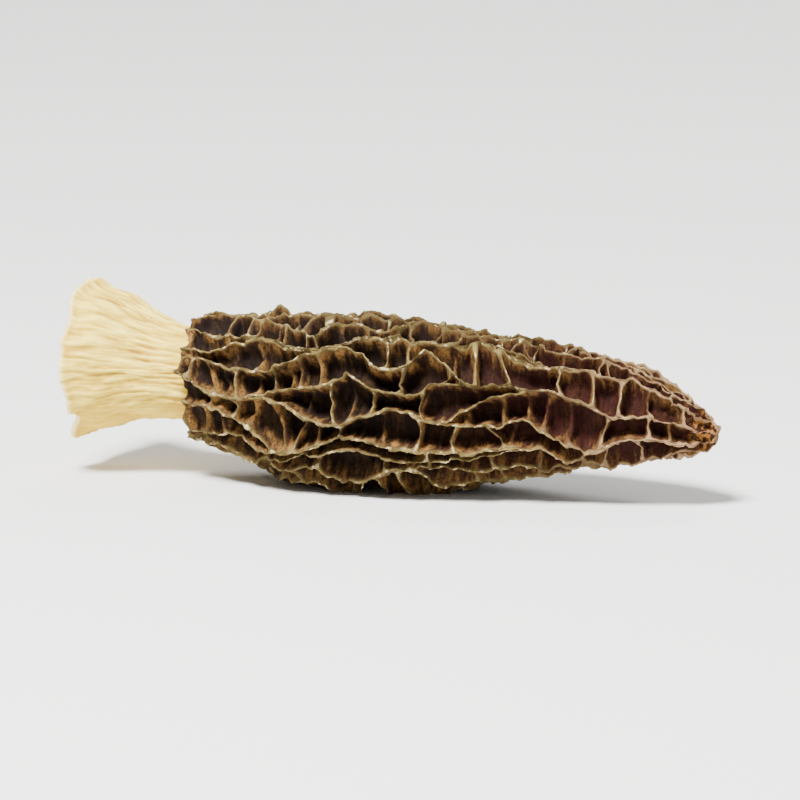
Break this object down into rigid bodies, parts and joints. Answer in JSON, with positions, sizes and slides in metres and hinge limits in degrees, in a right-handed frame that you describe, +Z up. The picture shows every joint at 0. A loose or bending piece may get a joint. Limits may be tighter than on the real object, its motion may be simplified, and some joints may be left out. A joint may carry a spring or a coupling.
{
  "type": "morel mushroom",
  "caption": "Dried morel mushroom lying on its side: a long pitted and ridged hollow cap tapering to a blunt tip, on a short pale flared hollow stem cut at its foot.",
  "frame": {"origin": "on the surface that the morel rests on, under the middle of its bounding box", "axes": "+X from the cut stem to the cap's tip, +Z up, +Y to the left when looking towards the tip"},
  "size_m": [0.0702, 0.0214, 0.0194],
  "materials": {
    "cap_flesh": "matte dried flesh: pale khaki ridge crests over dark brown pits",
    "stem_flesh": "matte dried flesh, cream with ochre streaks, finely wrinkled lengthwise"
  },
  "bodies": {
    "root": {"cap": "cap_flesh", "stem": "stem_flesh"}
  },
  "joints": []
}
